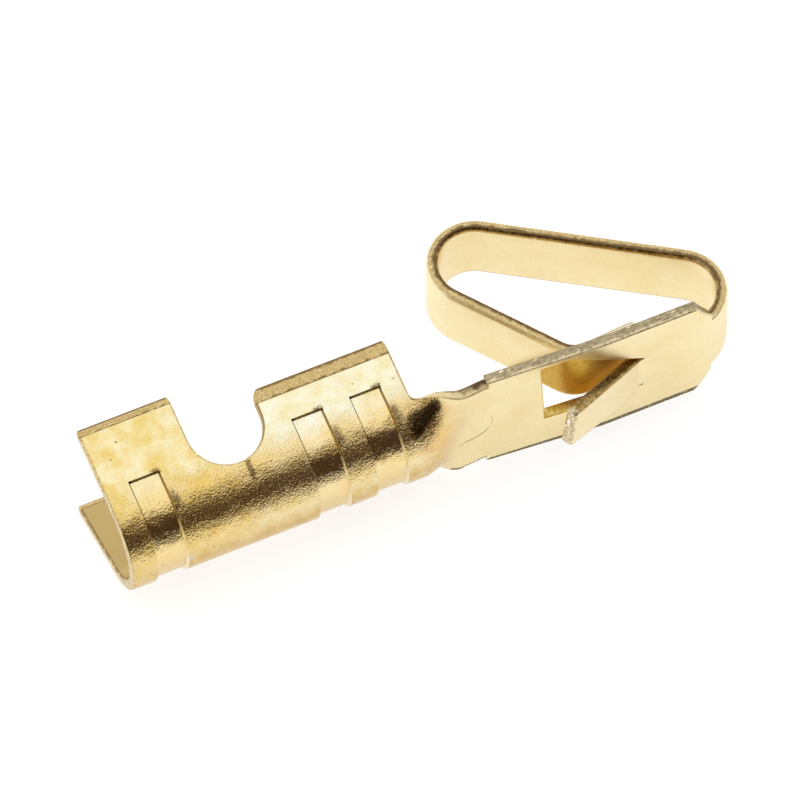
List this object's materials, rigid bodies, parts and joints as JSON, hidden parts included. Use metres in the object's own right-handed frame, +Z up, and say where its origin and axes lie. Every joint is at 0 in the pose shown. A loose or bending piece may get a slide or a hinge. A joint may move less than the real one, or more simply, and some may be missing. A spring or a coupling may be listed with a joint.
{
  "type": "crimp terminal",
  "caption": "Folded brass-sheet crimp terminal: open winged barrel for a wire, flat plate with a slanted locking lance, and a bent spring loop that presses on a header pin.",
  "frame": {"origin": "middle of the footprint, on the surface that the terminal lies on", "axes": "+X along the terminal from the wire end to the contact end, +Y from the plate towards the open side of the wings, +Z up across the terminal's width"},
  "size_m": [0.014, 0.0056, 0.0032],
  "materials": {
    "brass": "bright rolled sheet with sheared edges and a grained crimp barrel"
  },
  "bodies": {
    "root": {"terminal": "brass"}
  },
  "joints": []
}
